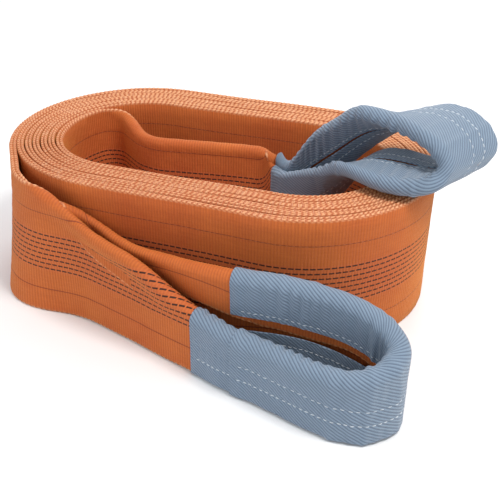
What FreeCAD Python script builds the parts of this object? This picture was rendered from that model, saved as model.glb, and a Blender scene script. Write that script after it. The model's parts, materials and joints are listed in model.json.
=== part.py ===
"""Duplex flat web sling with two sleeved eyes, rolled up into an oblong coil that stands on its edge.

The frame is +Z up, +X along the coil's long axis, and the coil stands on z = 0.  Every piece is first
drawn about the middle of the coil and then placed so that the origin is below the middle of the
sling's own box.
"""
import FreeCAD, Part
import math
import os

import Sketcher

V = FreeCAD.Vector
UP = V(0, 0, 1)

doc = FreeCAD.newDocument("web_sling")

# ---------------------------------------------------------------- driving dimensions (mm, degrees)
sheet = doc.addObject("Spreadsheet::Sheet", "Dims")
DIMENSIONS = [
    ("web_width", 240.0, "width of the woven webbing"),
    ("ply_thickness", 6.0, "one ply of webbing"),
    ("ply_gap", 0.2, "between the two plies that are sewn together"),
    ("turn_gap", 1.4, "between one turn of the coil and the next"),
    ("coil_radius", 229.0, "middle line of the outermost turn, at the coil's left end"),
    ("coil_straight", 310.0, "straight run between the two round ends"),
    ("turn_count", 6.0, "whole turns in the coil"),
    ("front_leave_angle", 216.0, "where the outer tail leaves the left end"),
    ("rear_leave_angle", 150.0, "where the inner tail leaves the left end"),
    ("front_tail_straight", 86.0, "straight run of the outer tail"),
    ("front_tail_radius", 123.0, "bend of the outer tail"),
    ("front_tail_turn", 51.0, "how far the outer tail bends"),
    ("front_tail_flare", 33.0, "how far the outer tail's foot stands out from its top"),
    ("crease_radius", 38.0, "sharp bend where the inner tail turns back"),
    ("crease_turn", 98.0, "how far the inner tail turns back there"),
    ("rear_tail_run", 150.0, "straight web in the inner tail"),
    ("rear_tail_straight", 110.0, "the part of it beyond the tail's wide bend"),
    ("rear_tail_radius", 95.0, "wide bend of the inner tail"),
    ("rear_tail_turn", 48.0, "how far that bend turns"),
    ("rear_tail_sag_radius", 600.0, "faint bend before the inner eye"),
    ("rear_tail_sag", 6.0, "how far the faint bend turns"),
    ("hinge_gap", 8.0, "free web at each place where the sling bends"),
    ("crotch_gap", 10.0, "free web where the plies part into an eye"),
    ("leg_offset", 7.2, "from the middle of the duplex web to each leg of an eye"),
    ("fold_gap", 0.6, "between the two halves of the folded eye"),
    ("sleeve_thickness", 2.0, "wear sleeve"),
    ("sleeve_clearance", 0.3, "between the sleeve and the web inside it"),
    ("front_sleeve_start", 290.0, "from the crotch to the front eye's sleeve, outer leg"),
    ("front_sleeve_end", 325.0, "the same on its inner leg"),
    ("cuff_length", 92.0, "separate cuff at the start of the front sleeve"),
    ("rear_sleeve_start", 58.0, "from the crotch to the rear eye's sleeve, lower leg"),
    ("rear_sleeve_end", 60.0, "the same on its upper leg"),
    ("sleeve_band", 72.0, "height of the sleeve on the inner side of the eye"),
    ("sleeve_lip", 34.0, "height of the sleeve turned in at the open edge"),
    ("seam_inset", 46.0, "from each selvedge to the long seam"),
    ("seam_width", 3.0, "long seam of the body"),
    ("seam_height", 0.5, "how far the long seam stands proud"),
    ("stitch_width", 2.0, "stitch row of the sleeve"),
    ("stitch_height", 0.8, "height of a stitch row"),
    ("stitch_gap", 0.2, "between a sewn row and the cloth below it"),
    ("lower_row", 31.0, "from the open edge to the sleeve's first row"),
    ("upper_row", 57.0, "from the open edge to the sleeve's second row"),
    ("tail_lift", 1.0, "the tails hang this far above the floor"),
    ("middle_x", 40.82, "middle of the sling's box from the middle of the coil, along X"),
    ("middle_y", -87.65, "middle of the sling's box from the middle of the coil, along Y"),
]
for row, (alias, value, meaning) in enumerate(DIMENSIONS, start=1):
    sheet.set("A%d" % row, meaning)
    sheet.set("B%d" % row, "%g" % value)
    sheet.setAlias("B%d" % row, alias)
doc.recompute()


def dim(alias):
    """The sheet's own value of one driving dimension."""
    return float(getattr(sheet, alias))


WIDTH = dim("web_width")
PLY = dim("ply_thickness")
PLY_OFFSET = (PLY + dim("ply_gap")) / 2
PITCH = 2 * PLY + dim("ply_gap") + dim("turn_gap")
HALF_RUN = dim("coil_straight") / 2
PLACE = FreeCAD.Placement(V(-dim("middle_x"), -dim("middle_y"), 0), FreeCAD.Rotation())


# ---------------------------------------------------------------- plan paths made of lines and arcs
def heading_vector(heading):
    return V(math.cos(math.radians(heading)), math.sin(math.radians(heading)), 0)


def left_of(heading):
    return heading_vector(heading + 90)


def walk(start, heading, moves):
    """Follow moves from start: ("go", length) or ("turn", radius, angle), left turns positive.

    Gives the legs walked, the place reached and the heading there.
    """
    legs = []
    here = start
    for move in moves:
        if move[0] == "go":
            there = here + heading_vector(heading) * move[1]
            legs.append(("line", here, there, heading))
        else:
            radius, angle = move[1], move[2]
            side = 1 if angle > 0 else -1
            centre = here + left_of(heading) * (side * radius)
            turned = heading + angle
            there = centre - left_of(turned) * (side * radius)
            legs.append(("arc", centre, radius, heading, turned, side))
            heading = turned
        here = there
    return legs, here, heading


def leg_edge(leg, offset):
    """One edge of a path, moved offset to the left, with its two ends."""
    if leg[0] == "line":
        shift = left_of(leg[3]) * offset
        ends = (leg[1] + shift, leg[2] + shift)
        return Part.LineSegment(*ends), ends
    centre, radius, first, last, side = leg[1:]
    radius -= side * offset
    angles = [first - side * 90, last - side * 90]
    ends = [centre + heading_vector(angle) * radius for angle in angles]
    low, high = sorted(angles)
    arc = Part.ArcOfCircle(Part.Circle(centre, UP, radius), math.radians(low), math.radians(high))
    return arc, ends


def strip(name, legs, inner, outer, bottom, height_expression):
    """A web on edge: the area between two offsets of a path, padded upwards from bottom."""
    body = doc.addObject("PartDesign::Body", name)
    body.Label = name
    sketch = body.newObject("Sketcher::SketchObject", name + "_plan")
    plane = next(f for f in body.Origin.OriginFeatures if f.Role == "XY_Plane")
    sketch.AttachmentSupport = [(plane, "")]
    sketch.MapMode = "FlatFace"
    sketch.AttachmentOffset = FreeCAD.Placement(V(0, 0, bottom), FreeCAD.Rotation())
    rims = []
    for offset in (inner, outer):
        ends = []
        for leg in legs:
            edge, leg_ends = leg_edge(leg, offset)
            number = sketch.addGeometry(edge, False)
            ends.append(leg_ends)
            if leg[0] == "arc":
                sketch.addConstraint(Sketcher.Constraint("Radius", number, edge.Radius))
        rims.append((ends[0][0], ends[-1][1]))
    for index in (0, 1):
        sketch.addGeometry(Part.LineSegment(rims[0][index], rims[1][index]), False)
    pad = body.newObject("PartDesign::Pad", name + "_pad")
    pad.Profile = sketch
    pad.setExpression("Length", height_expression)
    body.Tip = pad
    body.Placement = PLACE
    return body


# ---------------------------------------------------------------- coil, tails and where they bend
def coil_moves():
    """From the outer end inwards: each half turn is half a pitch smaller than the one before."""
    turns = int(dim("turn_count"))
    radius = dim("coil_radius")
    moves = [("turn", radius, -(dim("front_leave_angle") - 90))]
    for half in range(1, 2 * turns):
        moves.append(("go", dim("coil_straight")))
        moves.append(("turn", radius - half * PITCH / 2, -180))
    moves.append(("go", dim("coil_straight")))
    last = radius - turns * PITCH
    moves.append(("turn", last, -(270 - dim("rear_leave_angle"))))
    return moves


def split_move(move, cut):
    """One move in two: a length of web cut from it, and the rest."""
    if move[0] == "go":
        return ("go", cut), ("go", move[1] - cut)
    radius, angle = move[1:]
    turned = math.copysign(math.degrees(cut / radius), angle)
    return ("turn", radius, turned), ("turn", radius, angle - turned)


def trimmed_legs(start, heading, moves, start_cut, end_cut):
    """The legs of a route without a length of web at each end."""
    lead, first = split_move(moves[0], start_cut)
    start, heading = walk(start, heading, [lead])[1:]
    kept = [first] + moves[1:]
    kept[-1] = split_move(kept[-1], end_cut)[1]
    return walk(start, heading, kept)[0]


HALF_HINGE = dim("hinge_gap") / 2
HALF_CROTCH = dim("crotch_gap") / 2

# The crease where the inner tail turns back is shared: the coil has half of it, the tail the rest.
half_crease = ("turn", dim("crease_radius"), -dim("crease_turn") / 2)
rear_moves = [
    half_crease,
    ("go", dim("rear_tail_run") - dim("rear_tail_straight")),
    ("turn", dim("rear_tail_radius"), dim("rear_tail_turn")),
    ("go", dim("rear_tail_straight")),
    ("turn", dim("rear_tail_sag_radius"), -dim("rear_tail_sag")),
]
front_moves = [
    ("go", dim("front_tail_straight")),
    ("turn", dim("front_tail_radius"), dim("front_tail_turn")),
]
coil_route = coil_moves() + [half_crease]

left_centre = V(-HALF_RUN, -PITCH / 4, 0)
front_hinge = left_centre + heading_vector(dim("front_leave_angle")) * dim("coil_radius")
inward_heading = dim("front_leave_angle") - 90
outward_heading = dim("front_leave_angle") + 90
rear_hinge, rear_heading = walk(front_hinge, inward_heading, coil_route)[1:]
front_crotch, front_crotch_heading = walk(front_hinge, outward_heading, front_moves)[1:]
rear_crotch, rear_crotch_heading = walk(rear_hinge, rear_heading, rear_moves)[1:]

coil_legs = trimmed_legs(front_hinge, inward_heading, coil_route, HALF_HINGE, HALF_HINGE)
rear_tail_legs = trimmed_legs(rear_hinge, rear_heading, rear_moves, HALF_HINGE, HALF_CROTCH)


def duplex(prefix, legs, outer_side, bottom, height_expression):
    """Two plies on either side of a path, and the two long seams that hold them together."""
    half = PLY / 2
    outer = outer_side * PLY_OFFSET
    strip(prefix + "_outer_ply", legs, outer - half, outer + half, bottom, height_expression)
    strip(prefix + "_inner_ply", legs, -outer - half, -outer + half, bottom, height_expression)
    face = outer_side * (PLY_OFFSET + half)
    proud = face + outer_side * dim("seam_height")
    inset = dim("seam_inset")
    rows = (("_lower_seam", inset), ("_upper_seam", WIDTH - inset - dim("seam_width")))
    for suffix, level in rows:
        strip(prefix + suffix, legs, face, proud, level, "Dims.seam_width")


tail_height = "Dims.web_width - 2 * Dims.tail_lift"
duplex("coil", coil_legs, 1, 0.0, "Dims.web_width")
duplex("rear_tail", rear_tail_legs, 1, dim("tail_lift"), tail_height)


# ---------------------------------------------------------------- the outer tail and the two eyes
def at(point, z):
    return V(point[0], point[1], z)


def beside(point, heading, ahead, left):
    return point + heading_vector(heading) * ahead + left_of(heading) * left


LEG_OFFSET = dim("leg_offset")
LOW = dim("tail_lift")
HIGH = WIDTH - 2 * dim("tail_lift")

front_outer_start = beside(front_crotch, front_crotch_heading, HALF_CROTCH, -LEG_OFFSET)
front_inner_start = beside(front_crotch, front_crotch_heading, HALF_CROTCH, LEG_OFFSET)
rear_outer_start = beside(rear_crotch, rear_crotch_heading, HALF_CROTCH, -LEG_OFFSET)
rear_inner_start = beside(rear_crotch, rear_crotch_heading, HALF_CROTCH, LEG_OFFSET)

# Each station is the open edge and the folded crest of the web, along one leg, round and back.
FRONT_EYE = [
    (at(front_outer_start, LOW), at(front_outer_start, HIGH)),
    (V(-142, -262, 2), V(-142, -262, 205)),
    (V(-91, -274, 2), V(-91, -274, 192)),
    (V(-30, -293, 2), V(-30, -293, 180)),
    (V(35, -314, 2), V(35, -314, 148)),
    (V(92, -333, 4), V(92, -333, 121)),
    (V(200, -365, 4), V(200, -365, 124)),
    (V(300, -392, 4), V(300, -392, 122)),
    (V(352, -397, 4), V(352, -397, 124)),
    (V(394, -373, 6), V(394, -373, 132)),
    (V(408, -337, 10), V(408, -337, 140)),
    (V(389, -304, 20), V(389, -304, 152)),
    (V(345, -290, 34), V(345, -290, 168)),
    (V(245, -286, 40), V(245, -286, 180)),
    (V(140, -289, 44), V(140, -289, 186)),
    (V(55, -285, 18), V(55, -285, 182)),
    (V(-20, -274, 8), V(-20, -274, 180)),
    (V(-85, -258, 4), V(-85, -258, 188)),
    (V(-142, -246, 2), V(-142, -246, 200)),
    (at(front_inner_start, LOW), at(front_inner_start, HIGH)),
]
REAR_EYE = [
    (at(rear_outer_start, LOW), at(rear_outer_start, HIGH)),
    (V(108, 42, 88), V(107, 32, 214)),
    (V(160, 28, 118), V(160, -8, 242)),
    (V(212, 40, 164), V(210, -50, 256)),
    (V(262, 40, 232), V(260, -86, 260)),
    (V(318, 26, 262), V(312, -106, 257)),
    (V(376, 18, 258), V(355, -112, 262)),
    (V(432, 10, 264), V(388, -104, 272)),
    (V(464, 14, 294), V(402, -80, 296)),
    (V(436, 38, 326), V(388, -72, 322)),
    (V(378, 60, 340), V(345, -54, 342)),
    (V(318, 72, 322), V(300, -36, 346)),
    (V(258, 72, 274), V(256, -6, 340)),
    (V(206, 64, 212), V(208, 22, 314)),
    (V(155, 60, 158), V(158, 40, 270)),
    (V(112, 66, 98), V(112, 58, 218)),
    (at(rear_inner_start, LOW), at(rear_inner_start, HIGH)),
]
SAMPLES_PER_STATION = 3


def smooth(points, parameters):
    curve = Part.BSplineCurve()
    curve.interpolate(Points=points, Parameters=parameters)
    return curve


def sample_eye(stations, from_start, from_end):
    """Sections along the eye: open edge, direction to the crest, outward normal, height, place.

    Places are lengths along the middle of the web.  Sections are also cut at the given places,
    measured from the start and back from the end.
    """
    middles = [(low + high) * 0.5 for low, high in stations]
    parameters = [0.0]
    for first, second in zip(middles, middles[1:]):
        parameters.append(parameters[-1] + first.distanceToPoint(second))
    edge = smooth([low for low, high in stations], parameters)
    crest = smooth([high for low, high in stations], parameters)
    sections = []
    for index in range(len(stations) - 1):
        span = parameters[index + 1] - parameters[index]
        for step in range(SAMPLES_PER_STATION):
            sections.append(parameters[index] + span * step / SAMPLES_PER_STATION)
    sections.append(parameters[-1])
    sections += from_start
    sections += [parameters[-1] - cut for cut in from_end]
    samples = []
    for place in sorted(sections):
        low, high = edge.value(place), crest.value(place)
        along = edge.tangent(place)[0] + crest.tangent(place)[0]
        rise = high - low
        height = rise.Length
        rise.normalize()
        normal = along.cross(rise)
        normal.normalize()
        samples.append((low, rise, normal, height, place))
    return samples


def loft(name, samples, profile):
    """A solid through one closed profile per section; profile gives (along rise, along normal)."""
    rings = []
    for low, rise, normal, height, place in samples:
        rings.append([low + rise * a + normal * b for a, b in profile(height)])
    faces = []
    for ring in (rings[0], rings[-1]):
        faces.append(Part.Face(Part.makePolygon(ring + ring[:1])))
    for near, far in zip(rings, rings[1:]):
        for index in range(len(near)):
            first = Part.LineSegment(near[index - 1], near[index]).toShape()
            second = Part.LineSegment(far[index - 1], far[index]).toShape()
            faces.append(Part.makeRuledSurface(first, second))
    shell = Part.makeShell(faces)
    shell.sewShape()
    solid = Part.makeSolid(Part.Shell(shell.Faces))
    if solid.Volume < 0:
        solid.reverse()
    feature = doc.addObject("Part::Feature", name)
    feature.Label = name
    feature.Shape = solid
    feature.Placement = PLACE
    return feature


FACE = PLY + dim("fold_gap") / 2
INNER = dim("fold_gap") / 2
SKIN = FACE + dim("sleeve_clearance")
SLEEVE = SKIN + dim("sleeve_thickness")


LEAST_FLAP = 4.0
LEAST_LIP = 1.5
LIP_GAP = 2.5
BAND_ROW_RISE = 8.0


def flap_end(height):
    """Where the inner half of the fold stops, up from the open edge of the outer half."""
    return min(max(2 * height - WIDTH, LEAST_FLAP), height - PLY - LEAST_FLAP)


def web_profile(height):
    flap = flap_end(height)
    return [
        (0, FACE), (height, FACE), (height, -FACE), (flap, -FACE),
        (flap, -INNER), (height - PLY, -INNER), (height - PLY, INNER), (0, INNER),
    ]


def lip_end(height):
    """How far the sleeve is turned in at the open edge, short of the inner half of the web."""
    return min(max(flap_end(height) - LIP_GAP, LEAST_LIP), dim("sleeve_lip"))


def sleeve_profile(height):
    gap = dim("sleeve_clearance")
    wall = dim("sleeve_thickness")
    lip = lip_end(height)
    band = height - dim("sleeve_band")
    return [
        (lip, -wall), (lip, 0), (-gap, 0), (-gap, SKIN),
        (height + gap, SKIN), (height + gap, -SKIN), (band, -SKIN), (band, -SLEEVE),
        (height + gap + wall, -SLEEVE), (height + gap + wall, SLEEVE),
        (-gap - wall, SLEEVE), (-gap - wall, -wall),
    ]


def bar_profile(level, width, near, far):
    """A bar between two distances along the normal; level gives its place from the section's height."""

    def profile(height):
        base = level(height)
        return [(base, near), (base + width, near), (base + width, far), (base, far)]

    return profile


def row_profile(level, face, side):
    """A stitch row just clear of a face."""
    near = face + side * dim("stitch_gap")
    return bar_profile(level, dim("stitch_width"), near, near + side * dim("stitch_height"))


def place_on(start, heading, moves, place):
    """Where a route is after a length of web, and its heading there."""
    done = []
    for move in moves:
        length = move[1] if move[0] == "go" else move[1] * math.radians(abs(move[2]))
        if place <= length:
            done.append(split_move(move, place)[0])
            break
        done.append(move)
        place -= length
    return walk(start, heading, done)[1:]


FLARE_STATIONS = 10


def flared_tail(prefix, start, heading, moves):
    """The outer tail: two plies whose foot stands out from their top, and their long seams."""
    length = dim("front_tail_straight")
    length += dim("front_tail_radius") * math.radians(dim("front_tail_turn"))
    first, last = HALF_HINGE, length - HALF_CROTCH
    stations = []
    for index in range(FLARE_STATIONS + 1):
        place = first + (last - first) * index / FLARE_STATIONS
        top, direction = place_on(start, heading, moves, place)
        out = dim("front_tail_flare") * math.sin(math.pi * place / length)
        foot = top - left_of(direction) * out
        stations.append((at(foot, LOW), at(top, HIGH)))
    samples = sample_eye(stations, [], [])
    half = PLY / 2
    for suffix, middle in (("_outer_ply", PLY_OFFSET), ("_inner_ply", -PLY_OFFSET)):
        ply = [(0, middle - half), (1, middle - half), (1, middle + half), (0, middle + half)]
        loft(prefix + suffix, samples, lambda h, ply=ply: [(a * h, b) for a, b in ply])
    near = PLY_OFFSET + half + dim("stitch_gap")
    inset = dim("seam_inset")
    for suffix, level in (("_lower_seam", inset), ("_upper_seam", WIDTH - inset)):
        bar = bar_profile(lambda h, level=level: level, dim("seam_width"), near, near + dim("seam_height"))
        loft(prefix + suffix, samples, bar)


flared_tail("front_tail", front_hinge, outward_heading, front_moves)


def between(samples, first, last):
    slack = 1e-6
    return [sample for sample in samples if first - slack <= sample[4] <= last + slack]


def sewn_eye(prefix, stations, cuff_length, lip_run):
    """Folded web, its wear sleeve and the rows that sew the sleeve on."""
    start = dim(prefix + "_sleeve_start")
    cuff_end = start + cuff_length
    sleeve_start = cuff_end + dim("sleeve_clearance") if cuff_length else start
    cuts = sorted({start, cuff_end, sleeve_start})
    samples = sample_eye(stations, cuts, [dim(prefix + "_sleeve_end")])
    length = samples[-1][4]
    loft(prefix + "_eye_web", samples, web_profile)
    if cuff_length:
        cuff = between(samples, start, cuff_end)
        loft(prefix + "_eye_cuff", cuff, sleeve_profile)
        loft(prefix + "_cuff_row", cuff, row_profile(lambda h: dim("lower_row"), SLEEVE, 1))
    covered = between(samples, sleeve_start, length - dim(prefix + "_sleeve_end"))
    loft(prefix + "_eye_sleeve", covered, sleeve_profile)
    rows = [
        ("_edge_row", lambda h: dim("lower_row"), SLEEVE, 1),
        ("_second_row", lambda h: dim("upper_row"), SLEEVE, 1),
        ("_band_row", lambda h: h - dim("sleeve_band") + BAND_ROW_RISE, -SLEEVE, -1),
    ]
    for suffix, level, face, side in rows:
        loft(prefix + suffix, covered, row_profile(level, face, side))
    lip_level = row_profile(lambda h: lip_end(h) / 2, -dim("sleeve_thickness"), -1)
    loft(prefix + "_lip_row", between(covered, *lip_run), lip_level)
    print("%s eye is %.1f long along the middle of its web" % (prefix, length))


# The lip shows only where the inner half of the fold leaves room for it.
FRONT_LIP_RUN = (760.0, 930.0)
REAR_LIP_RUN = (160.0, 330.0)
sewn_eye("front", FRONT_EYE, dim("cuff_length"), FRONT_LIP_RUN)
sewn_eye("rear", REAR_EYE, 0, REAR_LIP_RUN)

# ---------------------------------------------------------------- check and write
doc.recompute()
for item in doc.Objects:
    if "Invalid" in item.State or "Error" in item.State:
        raise RuntimeError("%s did not build: %s" % (item.Label, item.State))

os.makedirs("parts", exist_ok=True)
total = FreeCAD.BoundBox()
for item in doc.Objects:
    if item.TypeId not in ("PartDesign::Body", "Part::Feature"):
        continue
    shape = item.Shape
    if shape.isNull() or not shape.isValid():
        raise RuntimeError(item.Label + " has no valid shape")
    total.add(shape.BoundBox)
    shape.exportStep("parts/%s.step" % item.Label)
    print("%-22s %d solid, volume %.0f" % (item.Label, len(shape.Solids), shape.Volume))
print("box x %.2f %.2f  y %.2f %.2f  z %.2f %.2f" % (
    total.XMin, total.XMax, total.YMin, total.YMax, total.ZMin, total.ZMax))
for label, point in (
    ("front hinge", front_hinge),
    ("front crotch", front_crotch),
    ("rear hinge", rear_hinge),
    ("rear crotch", rear_crotch),
):
    placed = PLACE.multVec(point)
    print("%s at %.2f %.2f" % (label, placed.x, placed.y))
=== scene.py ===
"""Looks of a duplex flat web sling that is rolled into a coil on its edge, with a sleeved eye at each end.

The web is followed as it was woven: "run" is the length along it and "across" is the height from its
lower selvedge.  Every length is in metres, but for the stations of the eyes, which are in
millimetres from the middle of the coil.  They follow the stations of the CAD model, with small shifts.
"""

import json
import math

import bpy
import numpy as np
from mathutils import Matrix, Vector


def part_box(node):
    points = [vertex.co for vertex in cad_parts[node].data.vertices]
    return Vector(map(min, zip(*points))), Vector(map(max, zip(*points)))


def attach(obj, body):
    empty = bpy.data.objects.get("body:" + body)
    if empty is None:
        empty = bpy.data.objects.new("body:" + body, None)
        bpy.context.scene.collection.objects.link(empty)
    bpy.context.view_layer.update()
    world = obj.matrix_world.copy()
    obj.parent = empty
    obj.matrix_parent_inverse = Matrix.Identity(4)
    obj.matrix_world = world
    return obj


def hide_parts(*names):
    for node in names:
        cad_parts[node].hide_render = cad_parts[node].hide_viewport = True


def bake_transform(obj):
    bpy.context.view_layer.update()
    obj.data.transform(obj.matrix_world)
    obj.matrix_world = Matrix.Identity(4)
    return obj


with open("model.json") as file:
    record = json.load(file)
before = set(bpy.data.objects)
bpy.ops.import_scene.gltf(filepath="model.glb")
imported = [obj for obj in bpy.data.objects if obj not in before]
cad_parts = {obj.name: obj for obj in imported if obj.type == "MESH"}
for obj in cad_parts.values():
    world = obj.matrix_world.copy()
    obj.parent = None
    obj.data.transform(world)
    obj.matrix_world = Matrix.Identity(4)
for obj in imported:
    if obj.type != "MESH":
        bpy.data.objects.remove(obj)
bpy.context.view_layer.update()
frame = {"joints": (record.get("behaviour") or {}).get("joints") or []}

# ---------------------------------------------------------------- sizes of the coil and the tails
MM = 0.001
PITCH = 13.6 * MM  # from one duplex turn to the next
PLY_OFFSET = 3.1 * MM  # from the middle of the two plies to the middle of one
COIL_RADIUS = 229 * MM
COIL_STRAIGHT = 310 * MM
TURNS = 6
LEAVE_FRONT, LEAVE_REAR = 216, 150  # degrees round the left end where the tails leave the coil

# A move along the web, seen from above, is ("go", length) or ("turn", radius, degrees to the left).
FRONT_TAIL = [("turn", 123 * MM, -51), ("go", 86 * MM)]
CREASE = ("turn", 38 * MM, -49)
REAR_TAIL = [CREASE, ("go", 40 * MM), ("turn", 95 * MM, 48), ("go", 110 * MM), ("turn", 600 * MM, -6)]

# ---------------------------------------------------------------- sizes of the cloths
PLY = 5.4 * MM
SLEEVE = 2.0 * MM
CLEARANCE = 0.9 * MM
HUG = (PLY + SLEEVE) / 2 + CLEARANCE  # from the middle of the web to the middle of its sleeve
BAND = 72 * MM  # how far a sleeve reaches down the inner side from its crest
LIP = 50 * MM  # how far it reaches up the inner side from its foot
SEAM_INSET = 46 * MM
ROLL_HEIGHT = 36 * MM  # of the part below an eye's crest that bulges where it is rolled

# Stitch rows: the first two from the foot of the outer face, the others from the sleeve's two edges.
LOWER_ROW, UPPER_ROW, BAND_ROW, LIP_ROW = 31 * MM, 57 * MM, 8 * MM, 19 * MM

# Periods of the weft ribs, of the cord along a selvedge, of the web's yarns, of the twill and of its yarns.
RIB, TWIST, YARN, TWILL, TWILL_YARN = 5.0 * MM, 9.0 * MM, 1.5 * MM, 4.8 * MM, 1.6 * MM

coil_low, coil_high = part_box("coil_outer_ply")
WIDTH = coil_high.z - coil_low.z
# Each half turn of the spiral is half a pitch smaller, so the coil's box is a quarter pitch off its middle.
COIL_MIDDLE = np.array([
    (coil_low.x + coil_high.x) / 2 + PITCH / 4,
    (coil_low.y + coil_high.y) / 2 - PITCH / 4,
    0,
])
JOINT = {joint["name"]: np.array(joint["pos_m"]) for joint in frame["joints"]}


# ---------------------------------------------------------------- plan of the web
def leg_length(move):
    """The length of one move."""
    return move[1] if move[0] == "go" else move[1] * math.radians(abs(move[2]))


def plan_of(start, heading, moves):
    """A function from length along the moves to plan place and heading (radians), and the whole length."""
    knots = []
    here, angle, done = np.array(start[:2], float), math.radians(heading), 0.0
    for move in moves:
        length = leg_length(move)
        bend = 0.0 if move[0] == "go" else math.radians(move[2]) / length
        knots.append((done, here[0], here[1], angle, bend))
        turned = angle + bend * length
        here = here + chord(angle, bend, length)
        angle, done = turned, done + length
    table = np.array(knots)

    def follow(length):
        row = table[np.clip(np.searchsorted(table[:, 0], length, side="right") - 1, 0, None)]
        gone = length - row[:, 0]
        place = row[:, 1:3] + chord(row[:, 3], row[:, 4], gone).T
        return place, row[:, 3] + row[:, 4] * gone

    return follow, done


def chord(angle, bend, length):
    """From the start to the end of an arc; a straight run has no bend."""
    turned = angle + bend * length
    middle = (angle + turned) / 2
    half = bend * length / 2
    span = length * np.sinc(half / np.pi)
    return np.array([np.cos(middle) * span, np.sin(middle) * span])


def coil_moves():
    """From the outer end of the coil inwards, half a turn at a time."""
    moves = [("turn", COIL_RADIUS, -(LEAVE_FRONT - 90))]
    for half in range(1, 2 * TURNS):
        moves += [("go", COIL_STRAIGHT), ("turn", COIL_RADIUS - half * PITCH / 2, -180)]
    moves += [("go", COIL_STRAIGHT), ("turn", COIL_RADIUS - TURNS * PITCH, -(270 - LEAVE_REAR))]
    return moves + [CREASE]


# A place along the web is counted from where the front tail meets the coil.
TAIL_LENGTH = sum(leg_length(move) for move in FRONT_TAIL)
COIL_LENGTH = sum(leg_length(move) for move in coil_moves())
FRONT_HEADING = LEAVE_FRONT - 90 - FRONT_TAIL[0][2]
whole_plan, WHOLE_LENGTH = plan_of(
    JOINT["front_eye_swing"], FRONT_HEADING, FRONT_TAIL + coil_moves() + REAR_TAIL
)
REAR_END = WHOLE_LENGTH - TAIL_LENGTH


def bump(place, middle, reach):
    """A smooth hill, 1 in the middle and 0 beyond its reach."""
    return np.cos(np.clip((place - middle) / reach, -1, 1) * np.pi / 2) ** 2


def ease(value, low, high):
    """A smooth step from 0 at low to 1 at high."""
    share = np.clip((value - low) / (high - low), 0, 1)
    return share * share * (3 - 2 * share)


def waves(place, seed, lengths, size):
    """A loose wobble: a few sine waves with seeded phases."""
    phases = np.random.default_rng(seed).uniform(0, 2 * np.pi, len(lengths))
    total = sum(np.sin(2 * np.pi * place / length + phase) for length, phase in zip(lengths, phases))
    return size * total / len(lengths)


# Where the web stands off from the plain spiral: place along the web, reach, distance outwards.
LOOSE = [
    (0.74, 0.34, 4.5 * MM),
    (1.50, 0.24, 3.0 * MM),
    (2.75, 0.30, 1.0 * MM),
    (COIL_LENGTH - 0.10, 0.13, -4.0 * MM),
]
FLARE, FLARE_MIDDLE, FLARE_REACH = 33 * MM, -0.085, 0.135
LIFT, LOWEST = 1.5 * MM, 0.5 * MM  # of the lower selvedge: in the coil, and everywhere


def flare_at(place):
    """How far the foot of the outer tail stands out from its top."""
    return FLARE * bump(place, FLARE_MIDDLE, FLARE_REACH)


def foot_of_ply(place, side):
    """The lower selvedge where the web stands on edge: side is 1 for the outer ply, -1 for the inner."""
    spot, heading = whole_plan(place + TAIL_LENGTH)
    left = np.stack([-np.sin(heading), np.cos(heading)], 1)
    inside = ease(place, 0.0, 0.10) * ease(REAR_END - place, 0.28, 0.40)
    out = sum(size * bump(place, middle, reach) for middle, reach, size in LOOSE)
    out = out + inside * waves(place, 3, (0.9, 0.41, 0.23), 0.5 * MM)
    out = out + inside * side * waves(place, 7 + side, (0.31, 0.17), 0.15 * MM)
    out = out + side * PLY_OFFSET
    height = LOWEST + inside * (LIFT + waves(place, 20 + side, (1.3, 0.57, 0.29), LIFT))
    return np.column_stack([spot + left * out[:, None], height])


# ---------------------------------------------------------------- the eyes
# One row per station: open edge, folded crest (mm from the middle of the coil), fold radius (mm).
FRONT_EYE = [
    ((-142, -262, 2), (-142, -262, 200), 5.5),
    ((-91, -275, 2), (-91, -275, 184), 6.5),
    ((-30, -294, 2), (-30, -294, 173), 7.5),
    ((35, -315, 2), (35, -315, 139), 10),
    ((92, -333, 4), (92, -333, 115), 11),
    ((200, -365, 4), (200, -365, 109), 12),
    ((300, -392, 4), (300, -392, 110), 12),
    ((352, -397, 4), (352, -397, 116), 12),
    ((394, -373, 5), (394, -373, 128), 12),
    ((408, -337, 6), (408, -337, 139), 12),
    ((389, -304, 10), (389, -304, 152), 12),
    ((345, -290, 20), (345, -290, 168), 12),
    ((245, -286, 38), (245, -286, 183), 12),
    ((190, -288, 36), (190, -288, 184), 12),
    ((130, -286, 24), (130, -286, 181), 12),
    ((55, -279, 6), (55, -279, 175), 10),
    ((-20, -265, 3), (-20, -265, 170), 7.5),
    ((-85, -249, 3), (-85, -249, 176), 6.5),
    ((-142, -240, 2), (-142, -240, 196), 5.5),
]
REAR_EYE = [
    ((108, 42, 66), (107, 34, 188), 5),
    ((160, 32, 94), (160, 2, 214), 5),
    ((212, 40, 156), (210, -40, 246), 6),
    ((262, 40, 232), (260, -85, 263), 7),
    ((318, 26, 262), (312, -106, 259), 9),
    ((376, 18, 258), (355, -112, 262), 9),
    ((432, 10, 264), (388, -104, 272), 9),
    ((464, 18, 298), (402, -82, 296), 9),
    ((438, 44, 330), (386, -72, 322), 9),
    ((384, 68, 338), (345, -52, 340), 9),
    ((320, 82, 304), (300, -26, 345), 9),
    ((262, 66, 256), (249, -7, 346), 7),
    ((206, 60, 196), (202, 18, 309), 6),
    ((155, 62, 143), (156, 40, 261), 5),
    ((112, 64, 80), (112, 54, 200), 5),
]


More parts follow.
